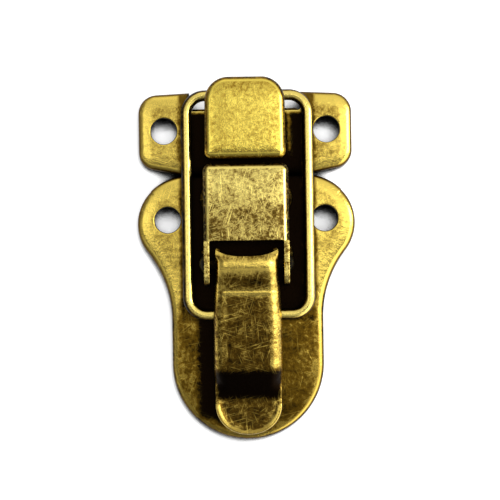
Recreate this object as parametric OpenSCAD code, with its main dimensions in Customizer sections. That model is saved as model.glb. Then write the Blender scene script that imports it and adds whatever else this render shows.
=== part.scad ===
// Chest draw latch in pressed sheet: a strike with a hook for the lid, and a base with a pivoting
// duckbill lever whose wire bail reaches over the hook. It is drawn closed and lying on its back.
// X runs across, Y from the lever's tip towards the hook, Z away from the chest.
// Within the modules Y is counted from the lid line, midway between the two plates.

/* [Plates] */
// Gap between the two plates at the lid line
plate_gap = 0.3; // [0.2:0.1:1.2]
// Height of both plates above the chest
plate_h = 2.4; // [2.2:0.1:3.2]
// Thickness of the plate sheet
plate_t = 0.9; // [0.7:0.05:1]
// Outer radius of the plates' rolled edge
plate_roll = 1.2; // [1.1:0.05:1.5]
// Diameter of the screw holes
screw_d = 4.8; // [3:0.1:5]
// Radius of the rolled-in rim of a screw hole
screw_rim = 0.3; // [0.1:0.05:0.5]

/* [Base plate] */
// Length of the base plate from the lid line edge to the round end
base_len = 48.65; // [46:0.05:56]
// Radius of the two round ears
base_ear_r = 8.4; // [7.6:0.1:9.2]
// Distance between the centres of the two ears
base_ear_span = 23.4; // [22:0.1:26]
// How far the ears' circles stay below the lid line edge
base_ear_drop = 0.3; // [0.1:0.05:0.6]
// Radius of the round end
base_lobe_r = 14.0; // [13:0.1:15]
// Radius of the hollow necks between ears and round end
base_neck_r = 20.0; // [14:0.2:26]
// Distance between the base plate's screw holes
base_screw_span = 29.0; // [27:0.1:31]
// Distance of the base screw holes from the plate's lid line edge
base_screw_in = 8.0; // [7:0.1:9]

/* [Strike plate] */
// Width of the strike plate
strike_w = 39.4; // [37:0.1:44]
// Depth of the strike plate at its outer corners
strike_d = 14.9; // [14:0.1:17]
// Radius of the corners next to the lid line
strike_low_corner = 3.3; // [2.6:0.1:4]
// Radius of the corners away from the lid line
strike_high_corner = 3.5; // [2.6:0.1:4.5]
// Width of the straight middle of the lid line edge
strike_flat = 20; // [16:0.5:24]
// Angle at which the lid line edge sweeps away from the straight middle
strike_sweep = 11; // [4:0.5:14]
// Slope of the far edge, which is highest in the middle
strike_slope = 2.7; // [0.5:0.1:5]
// Distance between the strike plate's screw holes
strike_screw_span = 30.0; // [27:0.1:32]
// Distance of the strike screw holes from the plate's lid line edge
strike_screw_in = 8.1; // [6.5:0.1:9]
// Width of the notch that lets the bail drop behind the hook
notch_w = 20.6; // [18:0.1:22]
// Depth of the notch
notch_d = 3.2; // [1:0.1:3.4]

/* [Hook] */
// Thickness of the hook sheet
hook_t = 1.0; // [0.7:0.05:1.1]
// Outer radius of the hook's bends
hook_roll = 1.1; // [1.1:0.05:1.3]
// Width of the hook
hook_w = 14.7; // [13:0.1:16]
// Distance of the hook's foot from the lid line
hook_set = 2.85; // [2.6:0.05:3.5]
// Distance of the lip's end from the lid line
hook_reach = 17.4; // [16.6:0.05:19]
// Distance of the shoulders that the bail pulls on from the lid line
hook_stop = 13.2; // [12.6:0.05:13.6]
// Corner radius of the lip
hook_lip_corner = 4.4; // [2.4:0.1:5]
// Free height over the bail inside the hook
hook_play = 2.4; // [2.2:0.1:3.5]

/* [Bracket] */
// Thickness of the bracket sheet
bracket_t = 1.0; // [0.7:0.05:1.1]
// Outer radius of the bracket's bends
bracket_roll = 1.1; // [1.1:0.05:1.3]
// Width over the bracket's walls
bracket_w = 15.5; // [14.6:0.1:17]
// Height of the bracket above the base plate
bracket_h = 5.6; // [5:0.1:6.5]
// How far the bracket's roof leans over the lid line
bracket_over = 1.8; // [0.8:0.05:2]
// Length of the bracket's roof
roof_len = 14.0; // [11:0.1:14.4]
// Height of the ears above the pivot
ear_rise = 1.75; // [1.5:0.05:2]
// Reach of the ears past the pivot towards the lever's tip
ear_reach = 4.1; // [2.5:0.1:4.5]

/* [Lever] */
// Thickness of the lever sheet
lever_t = 1.0; // [0.7:0.05:1.1]
// Distance of the pivot from the lid line
pivot_in = 16.3; // [16.1:0.1:17.5]
// Distance from the pivot to the lever's tip
lever_len = 31.2; // [29.5:0.1:31.5]
// Radius of the rounded heel about the pivot
heel_r = 2.95; // [2.6:0.05:3.05]
// Width of the lever at its heel
heel_w = 11.0; // [10:0.1:11.6]
// Width of the lever where it bends down to the bill
head_w = 12.1; // [11:0.1:12.6]
// Width of the bill
bill_w = 11.7; // [10.5:0.1:12.5]
// Length of the bill
bill_len = 5.8; // [5:0.1:6.5]
// Length of the bend between the head and the bill
bend_len = 6.9; // [6:0.1:8]
// Height of the bill's face above the base plate
bill_rise = 1.6; // [1.4:0.1:2.2]
// Upturn of the bill at its tip
bill_upturn = 0.8; // [0:0.1:1.5]
// Gap between the lever's flanges and the base plate
lever_lift = 0.3; // [0.2:0.05:0.5]

/* [Pivot pin] */
// Diameter of the pivot pin
pin_d = 2.2; // [1.8:0.1:2.4]
// Diameter of the pin's heads
pin_head_d = 3.5; // [3:0.1:3.8]
// Height of the pin's heads
pin_head_h = 0.9; // [0.6:0.05:1.1]
// Running clearance of the lever on the pin, all round
pin_fit = 0.05; // [0.02:0.01:0.1]

/* [Bail] */
// Diameter of the bail's wire
wire_d = 2.0; // [1.8:0.1:2.1]
// Length of the bail between the centres of its two bars
bail_len = 40.2; // [39.8:0.1:40.8]
// Width of the bail between the centres of its two sides
bail_w = 22.4; // [22:0.1:24]
// Bend radius of the bail's corners at the centre of the wire
bail_corner = 3.0; // [2.2:0.1:4]
// Gap between the two ends of the wire inside the lever
bail_end_gap = 0.8; // [0.3:0.1:4]
// Clearance of the bail's wire in the lever, all round
bail_fit = 0.08; // [0.05:0.01:0.12]
// Gap between the bail and the strike plate
bail_lift = 0.35; // [0.2:0.05:0.6]
// Gap between the bail and the hook's shoulders
bail_slack = 0.3; // [0.2:0.05:0.5]
// Height of the pivot above the bail's lower bar, which locks the lever over centre
over_centre = 1.33; // [1.1:0.01:1.5]

/* [Hidden] */
$fn = 64;

brass = [0.62, 0.50, 0.22];
dark_brass = [0.45, 0.36, 0.16];
bright_brass = [0.70, 0.58, 0.28];

// Overlap of pieces that are joined into one sheet, and the reach of cuts past a face
lap = 0.4;
past = 1;
// Clearance between a tab and its slot, and the play of a slot for the clinching tool
slot_fit = 0.1;
clinch_play = 1.0;
// Width of metal left below the bail's hole in a flange
flange_edge = 0.6;

wire_r = wire_d / 2;
pin_r = pin_d / 2;

// The latch is centred on its length
overall_len = hook_reach + plate_gap / 2 + base_len;
lid_line_y = overall_len / 2 - hook_reach;

// Lid line edges of the two plates
base_y1 = -plate_gap / 2;
strike_y0 = plate_gap / 2;

// Bail: the upper bar lies behind the hook's shoulders, the lower one in the lever's flanges
bar_y = hook_stop + bail_slack + wire_r;
bar_z = plate_h + bail_lift + wire_r;
hinge_z = plate_h + lever_lift + flange_edge + bail_fit + wire_r;
bail_tilt = asin((hinge_z - bar_z) / bail_len);
hinge_y = bar_y - bail_len * cos(bail_tilt);

// Lever pivot, over centre above the bail's line of pull
pivot_y = -pivot_in;
pivot_z = hinge_z + over_centre;

// Base plate: ears, round end and the hollow necks that are tangent to both
base_ear_x = base_ear_span / 2;
base_ear_y = base_y1 - base_ear_r - base_ear_drop;
base_lobe_y = base_y1 - base_len + base_lobe_r;
base_neck_x = base_lobe_r + base_neck_r;
base_neck_y = base_ear_y - sqrt(pow(base_ear_r + base_neck_r, 2) - pow(base_neck_x - base_ear_x, 2));
base_neck_a = atan2(base_neck_y - base_ear_y, base_neck_x - base_ear_x);
// Wider curve by which an ear runs into the lid line edge, from half a right angle on
base_crown_r = base_ear_r + base_ear_drop / (1 - sin(45));
base_crown_x = base_ear_x - (base_crown_r - base_ear_r) * cos(45);
base_crown_y = base_y1 - base_crown_r;

// Strike plate: centres of the curves along its right side, from the lid line edge to the far edge
strike_bend_r = 10;
strike_bend = [strike_flat / 2, strike_y0 + strike_bend_r];
strike_low_x = strike_w / 2 - strike_low_corner;
strike_low_y = strike_bend[1]
    + ((strike_low_x - strike_bend[0]) * sin(strike_sweep) + strike_low_corner - strike_bend_r)
    / cos(strike_sweep);
strike_high_x = strike_w / 2 - strike_high_corner;
strike_high_y = strike_y0 + strike_d - strike_high_corner;
strike_peak_y = strike_high_y
    + (strike_high_corner + strike_high_x * sin(strike_slope)) / cos(strike_slope);

// Height of the hook above the mounting plane, and the ends of the bracket's roof and ears
hook_top = bar_z + wire_r + hook_play + hook_t;
roof_y1 = bracket_over;
roof_y0 = bracket_over - roof_len;
ear_top = pivot_z + ear_rise;
ear_y0 = pivot_y - ear_reach;
// Depth of the rolled lip along the lid line end of the bracket's roof, and of the hook's lip
roof_lip = 1.9;
hook_lip = 1.3;

// Tabs: middle and length of each along Y, and the height of a clinched tab
tab_t = 0.7;
tab_reach = 1.4;
bracket_tabs = [[base_y1 - 4.1, 4.2], [pivot_y + 1.4, 4.2]];
hook_tabs = [[hook_set + 3.2, 3], [hook_stop - 2.4, 3]];

// Lever profile along u, the distance from the pivot towards the tip
slope_deg = 11;
slope_end = 5.0;
bill_start = lever_len - bill_len;
bend_start = bill_start - bend_len;
head_fall = 0.35;
slope_start = heel_r * sin(slope_deg);
slope_z = heel_r * cos(slope_deg) - (slope_end - slope_start) * tan(slope_deg);
head_z = slope_z - head_fall;
bill_z = plate_h + bill_rise + lever_t - pivot_z;
// Share of the bend that each of its two curves takes
bend_ease = 0.3;
// Step over which the face's slope is taken, and the share of the bill that its blunt tip is short
slope_step = 0.02;
tip_blunt = 0.002;
// Where the flanges run out under the bend
flange_out = [bend_start - 1.5, bend_start + 4.2];
flange_z = plate_h + lever_lift - pivot_z;
heel_flange = 2.0;
shoulder_r = 1.4;
// Depth of the hollow in the heel's edge
heel_hollow = 0.85;

// Function helpers
function clamp01(t) = min(1, max(0, t));
function lerp(a, b, t) = a + (b - a) * t;
function polar(r, a) = [r * cos(a), r * sin(a)];
function smooth(t) = let (c = clamp01(t)) c * c * (3 - 2 * c);

// A fall from 0 to 1 with a straight middle and a parabola of share e at each end
function ramp(t, e) =
    let (c = clamp01(t), m = 1 / (1 - e))
    c < e ? m * c * c / (2 * e) : c > 1 - e ? 1 - m * pow(1 - c, 2) / (2 * e) : m * (c - e / 2);

// Height of the lever's face above the pivot, at u
function face_z(u) =
    u < slope_start ? sqrt(max(0, heel_r * heel_r - u * u))
    : u < slope_end ? slope_z + (slope_end - u) * tan(slope_deg)
    : u < bend_start ? lerp(slope_z, head_z, (u - slope_end) / (bend_start - slope_end))
    : u < bill_start ? lerp(head_z, bill_z, ramp((u - bend_start) / bend_len, bend_ease))
    : bill_z + bill_upturn * pow((u - bill_start) / bill_len, 2);

// Slope of the face at u, and the height of the sheet's underside
function face_slope(u) = (face_z(u + slope_step) - face_z(u - slope_step)) / (2 * slope_step);
function under_z(u) =
    u < slope_start ? sqrt(max(0, pow(heel_r - lever_t, 2) - u * u))
    : face_z(u) - lever_t * sqrt(1 + pow(face_slope(u), 2));

// Height of the flanges' lower edge at u: round at the heel, straight, then up into the bill
function flange_low(u) =
    u < 0 ? -sqrt(max(0, heel_r * heel_r - u * u))
    : u < heel_flange ? lerp(-heel_r, flange_z, smooth(u / heel_flange))
    : lerp(flange_z, under_z(u), smooth((u - flange_out[0]) / (flange_out[1] - flange_out[0])));

// Lowest point of the lever's section at u
function lever_low(u) = min(flange_low(u), under_z(u) - (u > bend_start ? 0 : lap));

// Half width of the lever at u: the bill ends in a half ellipse
function lever_half(u) =
    u < bend_start ? lerp(heel_w, head_w, clamp01(u / bend_start)) / 2
    : u < bill_start ? lerp(head_w, bill_w, smooth((u - bend_start) / bend_len)) / 2
    : bill_w / 2 * sqrt(max(0, 1 - pow((u - bill_start) / bill_len, 2)));

// Cross-section with round shoulders, as points from the left foot over the top to the right foot.
// The shoulders take at most the given shares of the height and of the half width.
function loaf(half, low, high, r, n, high_share = 0.6, wide_share = 0.9) =
    let (s = min(r, (high - low) * high_share, half * wide_share))
    concat(
        [[-half, low]],
        [for (i = [0 : n]) [-half + s - s * cos(90 * i / n), high - s + s * sin(90 * i / n)]],
        [for (i = [n : -1 : 0]) [half - s + s * cos(90 * i / n), high - s + s * sin(90 * i / n)]],
        [[half, low]]);

// Solid through a list of equal rings of points
module skin(rings) {
    n = len(rings[0]);
    m = len(rings);
    points = [for (ring = rings) each ring];
    sides = [for (k = [0 : m - 2], i = [0 : n - 1])
        let (a = k * n + i, b = k * n + (i + 1) % n)
        each [[a, b + n, a + n], [a, b, b + n]]];
    first = [for (i = [1 : n - 2]) [0, i + 1, i]];
    last = [for (i = [1 : n - 2]) [(m - 1) * n, (m - 1) * n + i, (m - 1) * n + i + 1]];
    polyhedron(points, concat(first, sides, last), convexity = 6);
}

// Solid through rings that are mirrored about the Y axis, closed by a flat at each end
module plate_skin(rings) {
    n = len(rings[0]);
    m = len(rings);
    sides = [for (j = [0 : m - 2], k = [0 : n - 1])
        let (a = j * n + k, b = j * n + (k + 1) % n)
        each [[b, a, a + n], [b, a + n, b + n]]];
    last = (n - 1) / 2;
    face = [for (k = [0 : last - 1])
        k == last - 1 ? [k, last, last + 1] : [k, k + 1, n - k - 2, n - k - 1]];
    back = [for (f = face) [for (k = [len(f) - 1 : -1 : 0]) f[k] + (m - 1) * n]];
    polyhedron([for (ring = rings) each ring], concat(face, sides, back), convexity = 6);
}

// Rings of a pressed plate from its face, over the rolled edge and round under it: each [inset, height]
function plate_edge() =
    let (inner_roll = plate_roll - plate_t)
    concat(
        [for (a = [90 : -15 : 0]) [plate_roll * (1 - cos(a)), plate_h - plate_roll * (1 - sin(a))]],
        [[0, 0], [plate_t, 0]],
        [for (a = [0 : 30 : 90])
            [plate_t + inner_roll * (1 - cos(a)), plate_h - plate_t - inner_roll * (1 - sin(a))]]);

// Pressed edge: section of a sheet that rolls over into a skirt. u runs inwards, v up.
module edge_section(t, r, h, inner) {
    difference() {
        square([r + inner, h]);
        difference() {
            translate([-past, h - r]) square([r + past, r + past]);
            translate([r, h - r]) circle(r);
        }
        difference() {
            translate([t, -past]) square([r + inner + past, h - t + past]);
            difference() {
                translate([0, h - r]) square([r, r]);
                translate([r, h - r]) circle(r - t);
            }
        }
    }
}

// Pressed edge along a straight line of length l that leaves p in the direction a, sheet on its left
module edge_line(p, a, l, t, r, h, inner) {
    translate([p[0], p[1], 0]) rotate([0, 0, a]) rotate([90, 0, 90])
        linear_extrude(l) edge_section(t, r, h, inner);
}

// Pressed edge round a corner, a quarter turn from angle a
module edge_round(c, radius, a, t, r, h, inner) {
    translate([c[0], c[1], 0]) rotate([0, 0, a]) rotate_extrude(angle = 90)
        translate([radius, 0]) mirror([1, 0]) edge_section(t, r, h, inner);
}

// Pressed rectangular tray from y0 to y1, with corners of radius c0 at y0 and c1 at y1
module tray(half, y0, y1, c0, c1, t, r, h) {
    inner = min(lap, c0 - r, c1 - r);
    inset = r + inner / 2;
    for (s = [0, 1]) mirror([s, 0, 0]) {
        edge_line([0, y0], 0, half - c0, t, r, h, inner);
        edge_round([half - c0, y0 + c0], c0, -90, t, r, h, inner);
        edge_line([half, y0 + c0], 90, y1 - y0 - c0 - c1, t, r, h, inner);
        edge_round([half - c1, y1 - c1], c1, 0, t, r, h, inner);
        edge_line([half - c1, y1], 180, half - c1, t, r, h, inner);
    }
    translate([0, 0, h - t]) linear_extrude(t) {
        polygon([
            [half - c0, y0 + inset], [half - inset, y0 + c0],
            [half - inset, y1 - c1], [half - c1, y1 - inset],
            [c1 - half, y1 - inset], [inset - half, y1 - c1],
            [inset - half, y0 + c0], [c0 - half, y0 + inset]]);
        for (s = [-1, 1]) {
            if (c0 - inset > lap) translate([s * (half - c0), y0 + c0]) circle(c0 - inset - inner / 4);
            if (c1 - inset > lap) translate([s * (half - c1), y1 - c1]) circle(c1 - inset - inner / 4);
        }
    }
}

// Screw holes of a plate at +x and -x, with their rolled-in rims
module screw_holes(span, y) {
    for (s = [-1, 1]) translate([s * span / 2, y, 0]) {
        translate([0, 0, -past]) cylinder(d = screw_d, h = plate_h + 2 * past);
        rotate_extrude() difference() {
            translate([0, plate_h - screw_rim]) square([screw_d / 2 + screw_rim, screw_rim + past]);
            translate([screw_d / 2 + screw_rim, plate_h - screw_rim]) circle(screw_rim);
        }
    }
}

// Slots for the tabs of a pressed piece whose walls stand at +half and -half
module tab_slots(tabs, half, t) {
    for (s = [0, 1], tab = tabs) mirror([s, 0, 0])
        translate([half - t - slot_fit, tab[0] - tab[1] / 2 - slot_fit, -past])
            cube([t + slot_fit + clinch_play, tab[1] + 2 * slot_fit, plate_h + 2 * past]);
}

// Tabs that reach through the plate and are clinched outwards under it
module wall_tabs(tabs, half, t) {
    under = plate_h - plate_t;
    for (s = [0, 1], tab = tabs) mirror([s, 0, 0]) translate([half - t, tab[0] - tab[1] / 2, 0]) {
        translate([0, 0, under - tab_t]) cube([t, tab[1], plate_h - under + tab_t + lap]);
        translate([0, 0, under - tab_t]) cube([t + clinch_play + tab_reach, tab[1], tab_t]);
    }
}

// Strike plate on the lid: a pressed plate with two screw holes and a notch behind the hook
module strike_plate() {
    y1 = strike_y0 + strike_d;
    color(brass) difference() {
        mirror([0, 1, 0])
            plate_skin([for (e = plate_edge()) [for (p = strike_outline(e[0])) [p[0], p[1], e[1]]]]);
        screw_holes(strike_screw_span, strike_y0 + strike_screw_in);
        translate([-notch_w / 2, y1 - notch_d, -past])
            cube([notch_w, notch_d + strike_w, plate_h + 2 * past]);
        tab_slots(hook_tabs, hook_w / 2, hook_t);
    }
}

// Outline of the strike plate, inset by i and with Y turned round, clockwise from the right end of its
// straight middle
function strike_outline(i) =
    let (
        half = concat(
            [for (k = [0 : 4]) strike_bend
                + polar(strike_bend_r - i, lerp(-90, strike_sweep - 90, k / 4))],
            [for (k = [0 : 14]) [strike_low_x, strike_low_y]
                + polar(strike_low_corner - i, lerp(strike_sweep - 90, 0, k / 14))],
            [for (k = [0 : 14]) [strike_high_x, strike_high_y]
                + polar(strike_high_corner - i, lerp(0, 90 - strike_slope, k / 14))],
            [[0, strike_peak_y - i / cos(strike_slope)]]))
    concat(
        [for (p = half) [p[0], -p[1]]],
        [for (k = [len(half) - 2 : -1 : 0]) [-half[k][0], -half[k][1]]]);

// Hook on the strike plate: a pressed cap, open under its lip so that the bail can slip behind
module strike_hook() {
    half = hook_w / 2;
    small = hook_roll + lap / 2;
    height = hook_top - plate_h;
    color(bright_brass) {
        difference() {
            translate([0, 0, plate_h]) tray(half, hook_set, hook_reach, small, hook_lip_corner,
                hook_t, hook_roll, height);
            translate([-hook_w, hook_stop, plate_h - past])
                cube([2 * hook_w, hook_reach, height - hook_lip + past]);
        }
        wall_tabs(hook_tabs, half, hook_t);
    }
}

// Base plate on the chest: two round ears, hollow necks and a round end, all with a rolled edge
module base_plate() {
    color(brass) difference() {
        plate_skin([for (e = plate_edge()) [for (p = base_outline(e[0])) [p[0], p[1], e[1]]]]);
        screw_holes(base_screw_span, base_y1 - base_screw_in);
        tab_slots(bracket_tabs, bracket_w / 2, bracket_t);
    }
}

// Outline of the base plate, inset by i, clockwise from the right end of the lid line edge
function base_outline(i) =
    let (
        half = concat(
            [for (k = [0 : 8]) [base_crown_x, base_crown_y]
                + polar(base_crown_r - i, lerp(90, 45, k / 8))],
            [for (k = [1 : 18]) [base_ear_x, base_ear_y]
                + polar(base_ear_r - i, lerp(45, base_neck_a, k / 18))],
            [for (k = [1 : 11]) [base_neck_x, base_neck_y]
                + polar(base_neck_r + i, lerp(base_neck_a + 180, 180, k / 11))],
            [for (k = [0 : 18]) [0, base_lobe_y] + polar(base_lobe_r - i, -5 * k)]))
    concat(half, [for (k = [len(half) - 2 : -1 : 0]) [-half[k][0], half[k][1]]]);

// Bracket on the base plate: a pressed roof on two walls that run on as ears for the pivot pin
module lever_bracket() {
    half = bracket_w / 2;
    small = bracket_roll + lap / 2;
    color(brass) {
        difference() {
            translate([0, 0, plate_h]) tray(half, ear_y0 - 2 * small, roof_y1, small, small,
                bracket_t, bracket_roll, bracket_h);
            // The lid line end is open below its rolled lip
            translate([-half - past, base_y1, plate_h - past])
                cube([bracket_w + 2 * past, bracket_w, bracket_h - roof_lip + past]);
            // The roof ends in front of the lever
            translate([-half - past, roof_y0 - bracket_w, ear_top])
                cube([bracket_w + 2 * past, bracket_w, bracket_h]);
            translate([-half + bracket_t, roof_y0 - bracket_w, plate_h - past])
                cube([bracket_w - 2 * bracket_t, bracket_w, bracket_h + 2 * past]);
            ear_ends(half);
            translate([-half - past, pivot_y, pivot_z]) rotate([0, 90, 0])
                cylinder(d = pin_d, h = bracket_w + 2 * past);
        }
        wall_tabs(bracket_tabs, half, bracket_t);
    }
}

// What is cut from the walls to round off the ears
module ear_ends(half) {
    corner = ear_rise;
    translate([-half - past, 0, 0]) rotate([90, 0, 90])
        linear_extrude(bracket_w + 2 * past) difference() {
            translate([ear_y0 - bracket_w, plate_h - past])
                square([bracket_w + corner, bracket_h + 2 * past]);
            translate([ear_y0 + corner, ear_top - corner]) circle(corner);
            translate([ear_y0, plate_h - 2 * past])
                square([bracket_w, ear_top - corner - plate_h + 2 * past]);
        }
}

// Lever: a channel that curls round the pivot, runs straight as a head and bends down to a bill
module lever() {
    head = [for (i = [0 : 5]) lerp(slope_end, bend_start, i / 5)];
    heel = [for (a = [-80 : 10 : 0]) heel_r * sin(a)];
    slope = [for (i = [0 : 3]) lerp(slope_start, slope_end, i / 4)];
    bend = [for (i = [1 : 14]) lerp(bend_start, bill_start, i / 14)];
    bill = [for (a = [9 : 9 : 81]) bill_start + bill_len * sin(a)];
    inner_heel = [for (a = [-75 : 15 : 0]) (heel_r - lever_t) * sin(a)];
    stations = concat(heel, slope, head, bend, bill, [lever_len - bill_len * tip_blunt]);
    hollow = concat(inner_heel, slope, head, [for (u = bend) if (u < flange_out[1]) u]);
    color(bright_brass) translate([0, pivot_y, pivot_z]) difference() {
        skin([for (u = stations)
            [for (p = loaf(lever_half(u), lever_low(u), face_z(u), shoulder_r, 5)) [p[0], -u, p[1]]]]);
        skin([for (u = hollow)
            [for (p = loaf(lever_half(u) - lever_t, flange_low(u) - lap, under_z(u),
                shoulder_r - lever_t, 3)) [p[0], -u, p[1]]]]);
        heel_cut();
        translate([-head_w, 0, 0]) rotate([0, 90, 0]) cylinder(r = pin_r + pin_fit, h = 2 * head_w);
        translate([-head_w, hinge_y - pivot_y, hinge_z - pivot_z]) rotate([0, 90, 0])
            cylinder(r = wire_r + bail_fit, h = 2 * head_w);
    }
}

// Hollow cut in the heel's edge between its two corners
module heel_cut() {
    chord = heel_w / 2;
    radius = (chord * chord + heel_hollow * heel_hollow) / (2 * heel_hollow);
    translate([0, heel_r - heel_hollow + radius, -2 * heel_r]) cylinder(r = radius, h = 4 * heel_r);
}

// Pivot pin, riveted over in the bracket's ears with a domed head on each side
module lever_pin() {
    dome_r = (pow(pin_head_d / 2, 2) + pin_head_h * pin_head_h) / (2 * pin_head_h);
    color(dark_brass) translate([0, pivot_y, pivot_z]) rotate([0, 90, 0]) rotate_extrude() {
        translate([0, -bracket_w / 2]) square([pin_r, bracket_w]);
        for (s = [0, 1]) mirror([0, s]) intersection() {
            translate([0, bracket_w / 2 + pin_head_h - dome_r]) circle(dome_r);
            translate([0, bracket_w / 2]) square([pin_head_d, pin_head_h]);
        }
    }
}

// Bail: one wire bent to a loop whose two ends meet inside the lever
module bail() {
    side = bail_w / 2;
    c = bail_corner;
    color(bright_brass) translate([0, hinge_y, hinge_z]) rotate([-bail_tilt, 0, 0])
        for (s = [0, 1]) mirror([s, 0, 0]) {
            wire([bail_end_gap / 2, 0, 0], [0, 90, 0], side - c - bail_end_gap / 2);
            wire_bend([side - c, c, 0], -90);
            wire([side, c, 0], [-90, 0, 0], bail_len - 2 * c);
            wire_bend([side - c, bail_len - c, 0], 0);
            wire([0, bail_len, 0], [0, 90, 0], side - c);
        }
}

// Straight length of wire from p, and a quarter bend about c
module wire(p, turn, l) translate(p) rotate(turn) cylinder(r = wire_r, h = l);
module wire_bend(c, a0) translate(c) rotate([0, 0, a0]) rotate_extrude(angle = 90)
    translate([bail_corner, 0]) circle(wire_r);

// Brings a piece from the lid line to the middle of the latch's length
module placed() translate([0, lid_line_y, 0]) children();

placed() strike_plate();
placed() strike_hook();
placed() base_plate();
placed() lever_bracket();
placed() lever();
placed() lever_pin();
placed() bail();
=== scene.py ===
import math

import bmesh
import bpy
import numpy as np
from mathutils.geometry import delaunay_2d_cdt
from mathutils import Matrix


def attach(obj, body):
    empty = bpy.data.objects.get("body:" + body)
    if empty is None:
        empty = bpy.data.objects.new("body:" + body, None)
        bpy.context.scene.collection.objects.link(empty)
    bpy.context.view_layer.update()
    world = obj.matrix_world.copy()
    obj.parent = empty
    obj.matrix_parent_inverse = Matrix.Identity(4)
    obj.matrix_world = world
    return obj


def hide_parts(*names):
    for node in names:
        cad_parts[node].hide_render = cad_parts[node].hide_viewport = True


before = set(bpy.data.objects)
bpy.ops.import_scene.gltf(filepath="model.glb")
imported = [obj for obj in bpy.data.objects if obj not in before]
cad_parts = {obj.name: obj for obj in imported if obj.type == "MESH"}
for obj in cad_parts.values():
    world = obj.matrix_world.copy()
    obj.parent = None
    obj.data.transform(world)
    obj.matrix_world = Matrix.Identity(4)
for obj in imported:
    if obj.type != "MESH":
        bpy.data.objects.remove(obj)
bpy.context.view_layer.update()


# Base plate: a blank of 0.9 mm steel sheet pressed to a shallow tray with two ears, hollow necks and a round end,
# screwed to the chest below the lid line. It is brass plated, blackened and tumbled: its edges are rubbed bright,
# and the dark patina stays where the bail, the bracket and the lever shelter it. Painted shade lies inside and beside
# the bail, a painted shadow beside the lever, and a painted dark reflection on the round end.
lid_line, lid_gap = 15.7, 0.04
plate_top, plate_sheet, plate_roll, plate_fall, plate_reach = 2.4, 0.9, 1.2, 0.42, 2.0
base_edge = lid_line - lid_gap / 2
ear_x, ear_y, ear_r, ear_drop = 11.7, lid_line - 8.85, 8.4, 0.3
lobe_y, lobe_r, neck_r = lid_line - 34.8, 14.0, 20.0
neck_x = lobe_r + neck_r
neck_y = ear_y - math.sqrt((ear_r + neck_r) ** 2 - (neck_x - ear_x) ** 2)
neck_turn = math.degrees(math.atan2(neck_y - ear_y, neck_x - ear_x))
crown_r = ear_r + ear_drop / (1 - math.sqrt(0.5))
crown_x = ear_x - (crown_r - ear_r) * math.sqrt(0.5)
crown_y = base_edge - crown_r
base_holes = [(-14.5, lid_line - 8.15), (14.5, lid_line - 8.15)]
screw_r, screw_rim = 2.4, 0.3
wall_x = 7.75
slot_places, slot_half, slot_bulge = (lid_line - 4.25, lid_line - 14.6), 2.1, 0.75


def chain(arcs, closed, step=0.3):
    """Points, outward normals and tags along arcs that straight lines join. An arc is centre x, centre y, radius, first
    angle, last angle and tag. The metal lies inside an arc, or outside one whose radius is negative. A line has the tag
    of the arc before it."""
    spots, ways, tags = [], [], []
    for cx, cy, r, first, last, tag in arcs + arcs[:1] * closed:
        count = math.ceil(abs(r) * math.radians(abs(last - first)) / step) + 1
        a = np.radians(np.linspace(first, last, count))
        way = np.stack([np.cos(a), np.sin(a)], 1)
        spot = np.array([cx, cy]) + abs(r) * way
        way = math.copysign(1, r) * way
        if spots:
            gap = spot[0] - spots[-1][-1]
            share = np.linspace(0, 1, int(np.hypot(*gap) / step) + 2)[1:-1, None]
            spots.append(spots[-1][-1] + share * gap)
            ways.append(np.repeat(way[:1], len(share), 0))
            tags.append(np.full(len(share), tags[-1][-1]))
        spots.append(spot)
        ways.append(way)
        tags.append(np.full(count, tag, float))
    if closed:
        spots, ways, tags = spots[:-1], ways[:-1], tags[:-1]
    spots, ways, tags = np.concatenate(spots), np.concatenate(ways), np.concatenate(tags)
    new = np.ones(len(spots), bool)
    new[1:] = (np.abs(np.diff(spots, axis=0)).sum(1) > 1e-6) | (np.diff(tags) != 0)
    return spots[new], ways[new], tags[new]


def grid_faces(n, m, closed=False):
    """Quads of a grid of n by m points, which joins up along its first direction if it is closed, as a list of one
    block: an array with a row of corners for each face."""
    i, j = np.meshgrid(np.arange(n if closed else n - 1), np.arange(m - 1), indexing="ij")
    a, b = i * m + j, (i + 1) % n * m + j
    return [np.stack([a, b, b + 1, a + 1], -1).reshape(-1, 4)]


def join(parts):
    """Several nets as one: points, blocks of faces counted on from net to net, and the two values of each point."""
    starts = np.cumsum([0] + [len(p[0]) for p in parts])
    faces = [block + start for p, start in zip(parts, starts) for block in p[1]]
    return np.concatenate([p[0] for p in parts]), faces, *[np.concatenate([p[k] for p in parts]) for k in (2, 3)]


def within(points, loop):
    """True for a point in a closed loop: a ray from it to the right crosses an odd number of the loop's sides."""
    a, b = loop, np.roll(loop, -1, 0)
    x, y = points[:, :1], points[:, 1:]
    over = (a[:, 1] > y) != (b[:, 1] > y)
    rise = np.where(b[:, 1] == a[:, 1], 1, b[:, 1] - a[:, 1])
    return ((x < a[:, 0] + (y - a[:, 1]) * (b[:, 0] - a[:, 0]) / rise) & over).sum(1) % 2 == 1


def nearest(points, spots):
    """Distance of each point to the nearest of some spots."""
    return np.concatenate([np.sqrt(((p[:, None] - spots) ** 2).sum(-1).min(1)) for p in np.array_split(points, 16)])


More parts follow.
